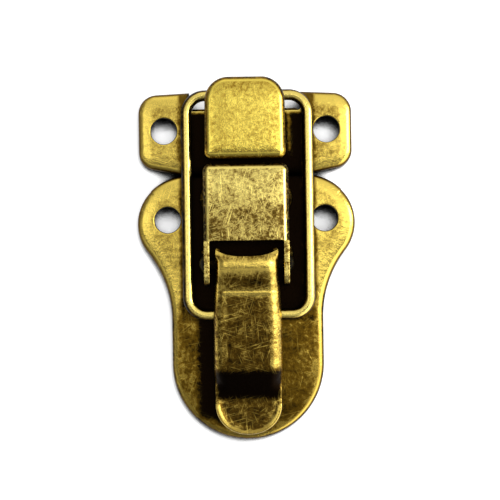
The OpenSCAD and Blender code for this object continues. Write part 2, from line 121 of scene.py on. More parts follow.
def fill(loops, spacing):
    """Triangles over a flat region inside the first loop and outside the others: a Delaunay net through the loops'
    points and a square lattice of points between them."""
    rim = np.concatenate(loops)
    sides = [np.arange(a, b, spacing) for a, b in zip(rim.min(0), rim.max(0))]
    lattice = np.stack(np.meshgrid(*sides), -1).reshape(-1, 2)
    lattice = lattice[nearest(lattice, rim) > 0.6 * spacing]
    order = [np.arange(len(loop)) for loop in loops]
    starts = np.cumsum([0] + [len(loop) for loop in loops])
    edges = np.concatenate([np.stack([k, np.roll(k, -1)], 1) + start for k, start in zip(order, starts)])
    inner = lattice[within(lattice, loops[0]) & ~np.any([within(lattice, loop) for loop in loops[1:]] or [False], 0)]
    points, _, faces, *_ = delaunay_2d_cdt(np.concatenate([rim, inner]).tolist(), edges.tolist(), [], 1, 1e-6)
    points, faces = np.array(points), np.array(faces)
    middle = points[faces].mean(1)
    good = ~np.any([within(middle, loop) for loop in loops[1:]] or [middle[:, 0] > np.inf], 0)
    return points, [faces[good]]


def pressed(line, closed, sheet, roll, top, fall, reach, cut=None, holes=(), slots=()):
    """A pressed sheet: its rolled edge is a section carried along the outline, a quarter circle from the flat face to
    the skirt, the skirt, its rounded foot at the height of the outline's tag, and the same back inside. Flat nets close
    it above and below. The face falls towards the outline by fall times exp(-distance / reach). An open outline is
    closed by cut, the line of a sheared edge. holes have a rolled-in rim, slots a sheared edge. Returns points in mm,
    faces, tilt (0 level to 1 upright) and a mark of the points that are inside."""
    spots, ways, feet = line
    lip, burr, cut_rows, hole_steps, spacing = 0.15, 0.12, 7, 48, 0.7
    a, w, b = np.radians(np.linspace(90, 0, 13)), np.array([0.25, 0.5, 0.75, 1.0]), np.radians([30, 60, 90])
    rows = np.concatenate([
        [roll * (1 - np.cos(a)), top - roll * (1 - np.sin(a)), 0 * a, 1 - a / a[0], 0 * a],
        [0 * w, (top - roll) * (1 - w) + lip * w, w, 1 + 0 * w, 0 * w],
        [lip * (1 - np.cos(b)), lip * (1 - np.sin(b)), 1 + 0 * b, 1 + 0 * b, 0 * b],
        np.array([sheet - lip * (1 - np.cos(b)), lip * (1 - np.sin(b)), 1 + 0 * b, 1 + 0 * b, 1 + 0 * b])[:, ::-1],
        np.array([sheet + 0 * w, (top - roll) * (1 - w) + lip * w, w, 1 + 0 * w, 1 + 0 * w])[:, ::-1],
        np.array([roll - (roll - sheet) * np.cos(a), top - roll + (roll - sheet) * np.sin(a), 0 * a, 1 - a / a[0],
                  1 + 0 * a])[:, ::-1]], 1)
    inset, fixed, share, tilt, inner = rows
    n, m = len(spots), len(inset)
    xy = (spots[:, None] - ways[:, None] * inset[:, None]).reshape(-1, 2)
    parts = [(np.column_stack([xy, (fixed + share * feet[:, None]).ravel()]), grid_faces(n, m, closed),
              np.tile(tilt, n), np.tile(inner, n))]
    edge = xy[::m]
    loops = []
    # Sheared edges, slightly rounded. A cut is the second net, and a face at each end joins it to the rolled edge
    c = np.radians(np.linspace(90, -90, cut_rows))
    for sheared, ends in [(cut, 1)] * (not closed) + [(slot, 0) for slot in slots]:
        k = len(sheared[0])
        back = burr * (1 - np.cos(c)) * np.clip(np.minimum(np.arange(k), np.arange(k)[::-1]), 1 - ends, 1)[:, None]
        place = sheared[0][:, None] - sheared[1][:, None] * back[..., None]
        depth = np.broadcast_to(top - sheet / 2 * (1 - np.sin(c)), (k, cut_rows))
        parts.append((np.dstack([place, depth]).reshape(-1, 3), grid_faces(k, cut_rows, not ends),
                      np.tile(np.sin(np.pi * np.arange(cut_rows) / (cut_rows - 1)), k), np.zeros(cut_rows * k)))
        if ends:
            edge = np.concatenate([edge, place[1:-1, 0]])
            first = n * m + np.arange(cut_rows - 2, 0, -1)
            last = first + cut_rows * (k - 1)
            parts[0][1].append(np.concatenate([np.arange(m), last])[None])
            parts[0][1].append(np.concatenate([np.arange(n * m - m, n * m), first])[None])
        else:
            loops.append(place[:, 0])
    # Holes: a quarter circle down from the face, the bore and a small break at its lower edge
    turn, t = np.radians(np.linspace(0, 360, hole_steps, endpoint=False)), np.radians(np.linspace(0, 90, 7))
    ring = np.stack([np.cos(turn), np.sin(turn)], 1)
    r = np.concatenate([screw_r + screw_rim * (1 - np.sin(t)), screw_r + np.array([0, 0.1, screw_rim])])
    depth = np.concatenate([top - screw_rim * (1 - np.cos(t)), top - sheet + np.array([0.1, 0, 0])])
    for hole in holes:
        place = np.array(hole) + ring[:, None] * r[:, None]
        parts.append((np.dstack([place, np.broadcast_to(depth, place.shape[:2])]).reshape(-1, 3),
                      grid_faces(hole_steps, len(r), True), np.tile(np.concatenate([t / t[-1], [1, 1, 0]]), hole_steps),
                      np.tile([0] * (len(r) - 2) + [1, 1], hole_steps)))
        loops.append(place[:, 0])
    points, faces = fill([edge] + loops, spacing)
    for height, mark in ((top, 0), (top - sheet, 1)):
        parts.append((np.insert(points, 2, height, 1), faces, np.zeros(len(points)), np.full(len(points), mark)))
    points, faces, tilt, inner = join(parts)
    sunk = fall * np.exp(-nearest(points[:, :2], spots) / reach) * np.clip((points[:, 2] - top + roll) / roll, 0, 1)
    return points - sunk[:, None] * [0, 0, 1], faces, tilt, inner


def build(name, node, body, material, shells):
    """One object from closed shells. A shell is points in mm, blocks of faces, and for each point how far it is worn
    bright, with painted highlights, and how much patina, with painted shade, it keeps. Double points are merged and
    faces turned outwards."""
    whole = bmesh.new()
    for points, faces, bright, patina_and_shade in shells:
        mesh = bpy.data.meshes.new(name)
        mesh.from_pydata((points * 0.001).tolist(), [], sum([block.tolist() for block in faces], []))
        for label, values in (("bright", bright), ("patina_and_shade", patina_and_shade)):
            values = np.clip(values, 0, 1).astype(np.float32)
            mesh.attributes.new(label, "FLOAT", "POINT").data.foreach_set("value", values)
        part = bmesh.new()
        part.from_mesh(mesh)
        bmesh.ops.remove_doubles(part, verts=part.verts, dist=4e-6)
        bmesh.ops.recalc_face_normals(part, faces=part.faces)
        part.to_mesh(mesh)
        part.free()
        whole.from_mesh(mesh)
        bpy.data.meshes.remove(mesh)
    mesh = bpy.data.meshes.new(name)
    whole.to_mesh(mesh)
    whole.free()
    mesh.polygons.foreach_set("use_smooth", np.ones(len(mesh.polygons), bool))
    mesh.set_sharp_from_angle(angle=math.radians(38))
    mesh.materials.append(material)
    piece = bpy.data.objects.new(name, mesh)
    bpy.context.scene.collection.objects.link(piece)
    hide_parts(node)
    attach(piece, body)


def linear(code):
    """An sRGB hex colour as linear RGBA: a channel is divided by 12.92 if it is dark, else 0.055 is added, the sum is
    divided by 1.055 and raised to the 2.4th power."""
    c = np.array([int(code[i:i + 2], 16) for i in (1, 3, 5)]) / 255
    return (*np.where(c <= 0.04045, c / 12.92, ((c + 0.055) / 1.055) ** 2.4), 1.0)


def add(tree, kind, inputs=None, **settings):
    """Adds one node. settings are its properties; inputs are values, or sockets of other nodes that feed it."""
    node = tree.nodes.new(kind)
    for key, value in settings.items():
        setattr(node, key, value)
    for key, value in (inputs or {}).items():
        if isinstance(value, bpy.types.NodeSocket):
            tree.links.new(value, node.inputs[key])
        else:
            node.inputs[key].default_value = value
    return node


def calc(tree, operation, *values, clamp=False):
    """One sum on numbers or sockets, kept between 0 and 1 if clamp is set."""
    return add(tree, "ShaderNodeMath", dict(enumerate(values)), operation=operation, use_clamp=clamp).outputs[0]


def ramp(tree, value, first, last, low=0.0, high=1.0, smooth=False):
    """low where the value is first, high where it is last, and in between a straight line or a smooth step."""
    return add(tree, "ShaderNodeMapRange", {
        "Value": value, "From Min": first, "From Max": last, "To Min": low, "To Max": high},
        interpolation_type="SMOOTHSTEP" if smooth else "LINEAR").outputs[0]


def blend(tree, share, first, last):
    """A colour that goes from first to last as the share goes from 0 to 1."""
    return add(tree, "ShaderNodeMix", {"Factor": share, 6: first, 7: last}, data_type="RGBA").outputs[2]


def antique_brass(name, brass, brown, black, base, pitted, clouded, scratched, shift, short=1):
    """Antique brass plating: brass that shows through a brown-black patina. The share of patina and painted shade is
    base, plus pitted in the pits of the tumbled surface, plus clouded in uneven patches, plus the piece's sheltered
    places and painted shade, less its worn edges and painted highlights. scratched is how far scratches lay the brass
    bare and short divides their length. shift moves the pattern."""
    # To the eye: warm yellow metal, glossy where it is rubbed, with dark specks, dull brown clouds and bright hairlines
    pit_mm, patch_mm, scratch_mm, wall_mm = 0.8, 3.0, 0.15, 0.8
    material = bpy.data.materials.new(name)
    material.use_nodes = True
    tree = material.node_tree
    tree.nodes.clear()
    place = add(tree, "ShaderNodeTexCoord").outputs["Object"]
    place = add(tree, "ShaderNodeMapping", {"Vector": place, "Location": shift}).outputs[0]
    bright = add(tree, "ShaderNodeAttribute", attribute_name="bright").outputs["Fac"]
    patina_and_shade = add(tree, "ShaderNodeAttribute", attribute_name="patina_and_shade").outputs["Fac"]
    # Pits of the tumbling stones, 0.1 to 0.8 mm, and patches of uneven blackening, 3 mm
    pits = add(tree, "ShaderNodeTexNoise", {"Vector": place, "Scale": 1000 / pit_mm, "Detail": 3.0, "Roughness": 0.8})
    pits = ramp(tree, pits.outputs["Fac"], 0.34, 0.66)
    cloud = add(tree, "ShaderNodeTexNoise", {
        "Vector": place, "Scale": 1000 / patch_mm, "Detail": 4.0, "Roughness": 0.6})
    cloud = ramp(tree, cloud.outputs["Fac"], 0.32, 0.68)
    # Scratches of a few hundredths of a mm, drawn wider so that they show, each direction in its own patches. Upright
    # walls cut them to short dashes
    marks = None
    for turn, long_mm, patch in ((0.3, 6, 1), (1.15, 5, 2), (1.5, 8, 3), (1.9, 6, 4), (2.5, 5, 5), (2.9, 7, 6)):
        bent = add(tree, "ShaderNodeMapping", {"Vector": place, "Rotation": (0, 0, turn)}).outputs[0]
        drawn = add(tree, "ShaderNodeMapping", {
            "Vector": bent, "Location": (patch, 3 * patch, 0),
            "Scale": (1000 * short / long_mm, 1000 / scratch_mm, 1000 / wall_mm)}).outputs[0]
        streak = add(tree, "ShaderNodeTexNoise", {"Vector": drawn, "Scale": 1.0, "Detail": 0.0, "Distortion": 0.5})
        streak = ramp(tree, streak.outputs["Fac"], 0.68, 0.8)
        where = add(tree, "ShaderNodeMapping", {"Vector": place, "Location": (patch, 0, 2 * patch)}).outputs[0]
        where = add(tree, "ShaderNodeTexNoise", {"Vector": where, "Scale": 1000 / patch_mm, "Detail": 1.0})
        streak = calc(tree, "MULTIPLY", streak, ramp(tree, where.outputs["Fac"], 0.46, 0.6))
        marks = streak if marks is None else calc(tree, "MAXIMUM", marks, streak)
    # The pits break the scratches into dashes
    marks = calc(tree, "MULTIPLY", marks, ramp(tree, pits, 0.75, 0.35, 0.65))
    # Share of patina and painted shade
    stain_and_shade = calc(tree, "MULTIPLY_ADD", pits, pitted, base)
    stain_and_shade = calc(tree, "MULTIPLY_ADD", cloud, clouded, stain_and_shade)
    stain_and_shade = calc(tree, "MULTIPLY_ADD", bright, -0.65, stain_and_shade, clamp=True)
    stain_and_shade = calc(tree, "MULTIPLY", stain_and_shade, calc(tree, "MULTIPLY_ADD", marks, -scratched, 1.0))
    stain_and_shade = calc(tree, "ADD", patina_and_shade, stain_and_shade, clamp=True)
    # Brass turns brown and then black, and scratches glint outside the sheltered places and the painted shade
    tone = blend(tree, ramp(tree, stain_and_shade, 0.0, 0.55), linear(brass), linear(brown))
    tone = blend(tree, ramp(tree, stain_and_shade, 0.45, 1.0), tone, linear(black))
    glint = calc(tree, "MULTIPLY", calc(tree, "MULTIPLY", marks, scratched), calc(tree, "SUBTRACT", 1.0, patina_and_shade))
    tone = blend(tree, glint, tone, linear(brass))
    relief = calc(tree, "MULTIPLY_ADD", marks, 0.7, pits)
    bump = add(tree, "ShaderNodeBump", {"Strength": 0.5, "Distance": 0.00003, "Height": relief}, invert=True)
    shader = add(tree, "ShaderNodeBsdfPrincipled", {
        "Base Color": tone, "Metallic": 1.0, "Roughness": ramp(tree, stain_and_shade, 0.0, 1.0, 0.18, 0.4),
        "Normal": bump.outputs[0]})
    add(tree, "ShaderNodeOutputMaterial", {"Surface": shader.outputs[0]})
    return material


def ease(t):
    """A rise from 0 to 1 that starts and ends level: 3 t squared minus 2 t cubed."""
    t = np.clip(t, 0, 1)
    return t * t * (3 - 2 * t)


def bump_at(value, middle, half):
    """A bell that is 1 at the middle: exp of minus the square of the distance to it over the half width."""
    return np.exp(-((value - middle) / half) ** 2)


base_line = chain([
    (0, lobe_y, lobe_r, -90, 0, 0), (neck_x, neck_y, -neck_r, 180, 180 + neck_turn, 0),
    (ear_x, ear_y, ear_r, neck_turn, 45, 0), (crown_x, crown_y, crown_r, 45, 90, 0),
    (-crown_x, crown_y, crown_r, 90, 135, 0), (-ear_x, ear_y, ear_r, 135, 180 - neck_turn, 0),
    (-neck_x, neck_y, -neck_r, -neck_turn, 0, 0), (0, lobe_y, lobe_r, 180, 270, 0)], True)
# Slots beside the bracket's walls, where its tabs go through: flat inside, bulging outwards
s = np.linspace(-1, 1, 15)
lens = np.concatenate([np.column_stack([wall_x + slot_bulge * (1 - s ** 2), slot_half * s]),
                       np.column_stack([wall_x - 0.6 - 0.06 * (1 - s ** 2), slot_half * s[::-1]])])
lens_way = np.concatenate([np.column_stack([0 * s - 1, 0.5 * s]), np.column_stack([0 * s + 1, 0 * s])])
lens_way /= np.linalg.norm(lens_way, axis=1)[:, None]
base_slots = [(lens * [side, 1] + [0, y], lens_way * [side, 1]) for side in (-1, 1) for y in slot_places]
points, faces, tilt, inner = pressed(base_line, True, plate_sheet, plate_roll, plate_top, plate_fall, plate_reach,
                                     holes=base_holes, slots=base_slots)
# Rubbed bright: the upper turn of the rolled edge, and a band inside it that fades towards the round end
band_wide, band_soft, open_x, lobe_low = 2.8, 1.4, 9, -28
x, y = points[:, :2].T
edge = nearest(points[:, :2], base_line[0])
band = ease((band_wide - edge) / band_soft) * (1 - 0.75 * ease((1 - y) / 9))
rubbed_and_highlight = np.maximum(bump_at(tilt, 0.3, 0.2), band) * (1 - inner) * ((np.abs(x) > open_x) | (y < lobe_low))
# Patina and painted shade: inside the bail, patina with painted shade and, less, a painted shadow under and beside its
# wire; a painted shadow of the lever, full on its left and half on its right, with patina under it; a painted dark
# reflection on the round end; patina with painted shade below the rim, which gives the outer turn and the hole rims
# their dark outline; and patina inside
loop_half, shade_half, shade_x = 11.2, 13.0, 0.3
# Painted shade with patina inside the bail, and a softer painted shadow under and beside its wire
bail_shade_and_patina = np.maximum(ease((loop_half - np.abs(x)) / 0.8) * ease((y + 10.6) / 0.8),
                        0.65 * ease((shade_half - np.abs(x - shade_x)) / 0.9) * ease((y + 11.9) / 0.9))
low_rim = ease((2.4 - edge) / 1.2) * ease((lobe_low - y) / 2)
# Painted shadow of the lever, stronger on its left side, with patina under the lever
lever_shadow_and_patina = ease((10.0 - np.abs(x + 0.6)) / 2.4) * ease((-9.0 - y) / 1.5) * (1 - 0.7 * low_rim)
# Painted dark reflection on the flat of the round end
painted_lobe_reflection = ease((-6.0 - y) / 7) * ease((0.4 - tilt) / 0.2)
# Outer turn of the rolled edges and the hole rims: patina, with painted shade for their dark outline
rim = ease((tilt - 0.28) / 0.35)
kept_patina_and_shade = np.maximum.reduce([bail_shade_and_patina, lever_shadow_and_patina * np.where(x < 0, 1.0, 0.5), 0.4 * painted_lobe_reflection, 0.8 * rim, 0.7 * inner])
# Deep yellow with soft brown clouds, dark in the middle with painted shade, so that the rim reads as worn by hands
build("base_plate_sheet", "base_plate", "mounted",
      antique_brass("antique_brass_plate", "#EED060", "#785A16", "#120A04", -0.1, 0.35, 0.35, 0.5, (0.01, 0.02, 0)),
      [(points, faces, rubbed_and_highlight, kept_patina_and_shade)])


# Lever bracket: a strip of 1 mm sheet bent to a roof on two walls. Its lid line end is rolled over, and the walls
# run on past the roof as two round ears that hold the pivot pin. Tabs under the walls are clinched below the plate.
bracket_top, bracket_sheet, bracket_roll, bracket_corner = 8.0, 1.0, 1.1, 1.3
cap_fall, cap_reach = 0.4, 1.0
roof_high, roof_low = lid_line + 1.8, lid_line - 12.2
roof_lip = bracket_top - 1.9
ear_tip, ear_top, ear_corner = lid_line - 20.4, 7.46, 1.75
tab_top, tab_sheet, tab_out, tab_corner = plate_top - plate_sheet, 0.7, 2.4, 0.25
sheared_edge = 0.12


def slab(spots, ways, thick, edge):
    """A flat piece cut from sheet: its outline, inset by edge times one minus the sine, carried through the thickness
    with rounded edges, and a net over each face. Returns points as outline x, outline y and depth, faces, tilt and
    zeros."""
    b = np.radians(np.linspace(0, 90, 4))
    inset = edge * (1 - np.sin(np.concatenate([b, b[::-1]])))
    depth = np.concatenate([edge * (1 - np.cos(b)), thick - edge * (1 - np.cos(b[::-1]))])
    xy = spots[:, None] - ways[:, None] * inset[:, None]
    wall = np.dstack([xy, np.broadcast_to(depth, xy.shape[:2])]).reshape(-1, 3)
    lean = np.tile(np.sin(np.concatenate([b, b[::-1]])), len(spots))
    flat, faces = fill([xy[:, 0]], 0.8)
    level = np.zeros(len(flat))
    return join([(wall, grid_faces(len(spots), len(inset), True), lean, 0 * lean),
                 (np.insert(flat, 2, 0, 1), faces, level, level), (np.insert(flat, 2, thick, 1), faces, level, level)])


def tabs(half, sheet, places, length):
    """Tabs of a pressed piece, clinched outwards under the plate: flat strips with rounded corners, as shells."""
    far_x, far_y = sheet + tab_out - tab_corner, length / 2 - tab_corner
    spots, ways, _ = chain([
        (far_x, far_y, tab_corner, 0, 90, 0), (tab_corner, far_y, tab_corner, 90, 180, 0),
        (tab_corner, -far_y, tab_corner, 180, 270, 0), (far_x, -far_y, tab_corner, 270, 360, 0)], True)
    flat, faces, tilt, _ = slab(spots, ways, tab_sheet, sheared_edge)
    return [((flat + [half - sheet, place, tab_top - tab_sheet]) * [side, 1, 1], faces, 0 * tilt, 0 * tilt + 0.7)
            for side in (-1, 1) for place in places]


roof_line = chain([
    (wall_x, roof_low, 0, 0, 0, plate_top), (wall_x, base_edge, 0, 0, 0, plate_top),
    (wall_x, base_edge, 0, 0, 0, roof_lip),
    (wall_x - bracket_corner, roof_high - bracket_corner, bracket_corner, 0, 90, roof_lip),
    (bracket_corner - wall_x, roof_high - bracket_corner, bracket_corner, 90, 180, roof_lip),
    (-wall_x, base_edge, 0, 180, 180, roof_lip), (-wall_x, base_edge, 0, 180, 180, plate_top),
    (-wall_x, roof_low, 0, 180, 180, plate_top)], False)
roof_cut = chain([(bracket_roll - wall_x, roof_low, 0, 270, 270, 0),
                  (wall_x - bracket_roll, roof_low, 0, 270, 270, 0)], False)
points, faces, tilt, inner = pressed(roof_line, False, bracket_sheet, bracket_roll, bracket_top, cap_fall, cap_reach,
                                     cut=roof_cut)
# The top of the bends is rubbed; their outer turns and the walls keep patina, with painted shade on the turns, and the
# roof's lower half is a little darker: a painted dark reflection
rubbed_and_highlight = bump_at(tilt, 0.22, 0.15) * (1 - inner)
kept_patina_and_shade = np.maximum.reduce([0.95 * ease((6.9 - points[:, 2]) / 1.2), 0.7 * ease((tilt - 0.2) / 0.25), 0.9 * inner,
                          0.25 * ease((13.5 - points[:, 1]) / 6) * (tilt < 0.1)])
shells = [(points, faces, rubbed_and_highlight, kept_patina_and_shade)] + tabs(wall_x, bracket_sheet, slot_places, 4.2)
spots, ways, _ = chain([
    (roof_low, plate_top, 0, -45, -45, 0), (roof_low, ear_top, 0, 45, 45, 0),
    (ear_tip + ear_corner, ear_top - ear_corner, ear_corner, 90, 180, 0), (ear_tip, plate_top, 0, 225, 225, 0)], True)
flat, faces, tilt, _ = slab(spots, ways, bracket_sheet, sheared_edge)
for side in (-1, 1):
    points = np.column_stack([side * (wall_x - flat[:, 2]), flat[:, 0], flat[:, 1]])
    shells.append((points, faces, 0 * tilt, 0.15 + 0.75 * ease((7.3 - points[:, 2]) / 0.6)))
# Paler than the plates and the most scratched, with coarse brown specks
build("lever_bracket_sheet", "lever_bracket", "mounted",
      antique_brass("antique_brass_bracket", "#F4DE7C", "#7C6024", "#120A04", -0.25, 0.6, 0.45, 1.6, (0.03, 0.05, 0)),
      shells)


# Pivot pin: a steel rod riveted over in the bracket's ears, with a low dome on each end. It is plated with the rest,
# and it is painted nearly black: painted shade where it sits between the ears and the lever.
pivot_y, pivot_z = -0.6, 5.71
pin_r, pin_head_r, pin_head = 1.1, 1.75, 0.9


def turned(profile, steps):
    """A turned piece: points of radius and place along the axis, carried once round it."""
    a = np.radians(np.linspace(0, 360, steps, endpoint=False))
    radius, along = profile.T
    ring = np.stack([along + 0 * a[:, None], radius * np.cos(a)[:, None], radius * np.sin(a)[:, None]], -1)
    return ring.reshape(-1, 3), grid_faces(steps, len(profile), True)


dome = (pin_head_r ** 2 + pin_head ** 2) / (2 * pin_head)
rise = np.linspace(0, math.asin(pin_head_r / dome), 10)
head = np.column_stack([dome * np.sin(rise), wall_x + pin_head - dome * (1 - np.cos(rise))])
half = np.concatenate([head, [[pin_r, wall_x], [pin_r, 0]]])
points, faces = turned(np.concatenate([half, (half * [1, -1])[-2::-1]]), 40)
# Nearly black, with a dull brown gleam on the domes
build("lever_pin_rod", "lever_pin", "mounted",
      antique_brass("antique_brass_pin", "#C9A84C", "#5A4218", "#0C0804", 0.1, 0.4, 0.3, 0.3, (0.02, 0.07, 0)),
      [(points + [0, pivot_y, pivot_z], faces, np.zeros(len(points)), np.full(len(points), 0.8))])


# Lever: 0.9 mm sheet pressed to a channel that turns on the pin. Its heel curls over the pivot and ends in a hollow
# edge between two horns, the head is nearly flat with round shoulders, and it bends down to an upturned duckbill.
# Lengths along it are counted from the pivot towards the tip, heights from the pivot.
lever_sheet, heel_r, shoulder, lever_edge = 0.9, 2.95, 2.1, 0.22
slope_end, bend_start, bill_start, lever_len = 5.0, 18.5, 25.4, 31.2
slope, head_fall, crown_flat, face_arch = math.radians(12), 0.35, 0.35, 0.12
heel_half, head_half, bill_half, bill_round = 5.65, 6.25, 5.8, 0.25
bill_z = plate_top + 2.6 - pivot_z
slope_start = heel_r * math.sin(slope) + crown_flat
slope_z = heel_r * math.cos(slope) - (slope_end - slope_start) * math.tan(slope)
head_z = slope_z - head_fall
flange_foot = plate_top + 0.3 - pivot_z
ridge_u, ridge_high, dish_u, dish_deep, dish_half = slope_end + 0.25, 0.06, 2.9, 0.1, 4.6
bill_rim, tip_u = 0.5, lever_len - bill_round


def face_height(u):
    """Height of the lever's face above the pivot at u from it: a slope of 12 degrees behind the crown, the nearly level
    head, a bend of a parabola, a straight and a parabola, and the bill."""
    t = np.clip((u - bend_start) / (bill_start - bend_start), 0, 1)
    e, m = 0.3, 1 / 0.7
    drop = np.where(t < e, m * t * t / (2 * e), np.where(t > 1 - e, 1 - m * (1 - t) ** 2 / (2 * e), m * (t - e / 2)))
    level = np.where(u < slope_end, slope_z + (slope_end - u) * math.tan(slope),
                     slope_z - head_fall * np.clip((u - slope_end) / (bend_start - slope_end), 0, 1))
    return level + (bill_z - head_z) * drop


def thicken(outer, sheet, edge):
    """A sheet from its outer surface: a copy lies one thickness under it along the normals, and a half-ellipse that
    stands out by edge joins the two round the border."""
    n, m = outer.shape[:2]
    normal = np.cross(np.gradient(outer, axis=0), np.gradient(outer, axis=1))
    normal /= np.linalg.norm(normal, axis=-1, keepdims=True)
    index = np.arange(n * m).reshape(n, m)
    loop = np.concatenate([index[0, :-1], index[:-1, -1], index[-1, :0:-1], index[:0:-1, 0]])
    rim, up = outer.reshape(-1, 3)[loop], normal.reshape(-1, 3)[loop]
    out = np.cross(up, np.roll(rim, -1, 0) - np.roll(rim, 1, 0))
    out /= np.linalg.norm(out, axis=-1, keepdims=True)
    b = np.radians(np.linspace(90, -90, 9))[:, None]
    band = rim[:, None] - up[:, None] * sheet / 2 * (1 - np.sin(b)) + out[:, None] * edge * np.cos(b)
    flat, lean = np.zeros(n * m), np.tile(np.linspace(0, 1, len(b)), len(loop))
    return join([(outer.reshape(-1, 3), grid_faces(n, m), flat, flat),
                 ((outer - sheet * normal).reshape(-1, 3), grid_faces(n, m), flat, flat + 1),
                 (band.reshape(-1, 3), grid_faces(len(loop), len(b), True), lean, lean)])


u = np.concatenate([
    np.linspace(slope_start, slope_end - 0.8, 14)[1:], np.linspace(slope_end - 0.7, slope_end + 1.4, 22),
    np.linspace(slope_end + 1.8, bend_start - 0.4, 30), np.linspace(bend_start, bill_start, 40),
    bill_start + (tip_u - bill_start) * np.sin(np.radians(np.linspace(4, 84, 26)))])
bill = np.clip((u - bill_start) / (tip_u - bill_start), 0, 1)
width = np.where(u < bend_start, heel_half + (head_half - heel_half) * np.clip(u / 10, 0, 1),
                 head_half + (bill_half - head_half) * ease((u - bend_start) / (bill_start - bend_start)))
width = np.where(u > bill_start, (bill_half - bill_round) * np.sqrt(1 - bill ** 2.3)
                 + bill_round * np.sqrt(1 - bill ** 8), width)
turn = math.pi / 2 * (1 - ease((u - bend_start - 2.0) / (bill_start - bend_start - 2.6)))[:, None]
# Across: left shoulder, face and right shoulder; where there are no shoulders the face spreads over all of it
t = np.concatenate([np.linspace(-2, -1, 9)[:-1], np.linspace(-1, 1, 33), np.linspace(1, 2, 9)[1:]])
arc = np.sign(t) * np.clip(np.abs(t) - 1, 0, 1)
part = turn / (math.pi / 2)
across = (part * ((width[:, None] - shoulder * np.sin(turn)) * np.clip(t, -1, 1) + shoulder * np.sin(turn * arc))
          + (1 - part) * width[:, None] * t / 2)
sunk = shoulder * (1 - np.cos(turn * arc))
# The bill's rim turns up, a small ridge crosses the lever where the head begins, and the slope above it is dished
spread = np.sqrt((across / bill_half) ** 2 + bill[:, None] ** 2)
rim = bill_rim * ease((spread - 0.78) / 0.22) * ease((u - bill_start + 1.5) / 2.5)[:, None]
ridge = ridge_high * bump_at(u, ridge_u, 0.38)[:, None]
dish = dish_deep * np.exp(-((u - dish_u) / 1.5) ** 4)[:, None] * ease((dish_half - np.abs(across)) / 1.6)
height = (face_height(u)[:, None] - sunk + rim + ridge - dish
          - face_arch * (across / head_half) ** 2 * ease((bill_start - u) / 6)[:, None])
body = np.stack([across, np.broadcast_to(pivot_y - u[:, None], across.shape), pivot_z + height], -1)
# The heel curls round the pivot to 36 degrees and runs on straight to the horns, short enough to pass over the plate as
# the lever turns. The edge between them is hollow, and the shoulders tighten towards them
heel_rows, horn_round = 38, 0.06
lean, horn_reach, hollow = math.radians(36), 2.6, 1.31
heel_turn = np.linspace(80, -11, heel_rows)
frown = ease((heel_turn - 10) / 50)[:, None]
tight = shoulder - (shoulder - horn_round) * frown
side = (heel_half - tight) * np.clip(t, -1, 1) + tight * np.sin(math.pi / 2 * arc)
reach_r = heel_r - tight * (1 - np.cos(math.pi / 2 * arc)) - face_arch * (side / head_half) ** 2 * (1 - frown)
bent = reach_r * (lean + slope)
straight = (horn_reach - hollow * (1 - np.abs(side[0] / heel_half) ** 3) - heel_r * math.sin(lean)) / math.cos(lean)
run = np.linspace(1, 0, heel_rows)[:, None] * (bent + straight)
curl, past = np.minimum(run, bent) / reach_r - slope, np.maximum(run - bent, 0)
crown = crown_flat * ease((math.radians(4) - curl) / math.radians(8))
heel = np.stack([side, pivot_y + reach_r * np.sin(curl) + past * math.cos(lean) - crown,
                 pivot_z + reach_r * np.cos(curl) - past * math.sin(lean)], -1)
points, faces, _, inner = thicken(np.concatenate([heel, body]), lever_sheet, lever_edge)
x, far = points[:, 0], pivot_y - points[:, 1]
wide = np.interp(far, u, width)
off = np.abs(x)
# Rubbed bright: the horns, the ridge and the bill's rim; the crown is rubbed and carries a painted highlight, and the
# right shoulder, on the side towards the light, carries a painted highlight
rubbed_and_highlight = np.maximum.reduce([
    0.2 * bump_at(off / wide, 0.82, 0.12) * (x > 0), bump_at(far, 0.6, 0.9),
    0.7 * ease((-1.2 - far) / 0.8) * ease((off - 3.5) / 1.5),
    0.6 * bump_at(far, ridge_u, 0.45) * ease((dish_half - off) / 0.6),
    ease((points[:, 2] - pivot_z - bill_z - 0.25) / 0.2) * (far > bill_start)]) * (1 - inner)
# Black in the bend: a painted dark reflection. Patina: brown in the dish; on the middle of the head and on the bill,
# patina with a painted dark reflection, and painted shade on the head's left side
painted_bend_dark = ease((far - 18.3) / 2.0) * ease((25.6 - far) / 1.8) * ease((1.0 - off / wide) / 0.08)
# Middle of the head darker, and its left side darker than its right: painted shade
head_patina_and_shade = np.maximum(ease((dish_half - off) / 1.4), np.where(x < 0, 0.5, 0.2))
kept_patina_and_shade = np.maximum.reduce([
    painted_bend_dark, 0.8 * inner, 0.1 * ease((-0.5 - far) / 0.7), 0.48 * np.exp(-((far - 3.4) / 1.4) ** 2 - (x / 3.8) ** 4),
    0.36 * ease((far - 5.7) / 0.8) * head_patina_and_shade, 0.36 * ease((far - 25) / 0.8) * (1 - rubbed_and_highlight)])
shells = [(points, faces, rubbed_and_highlight * (1 - painted_bend_dark), kept_patina_and_shade)]
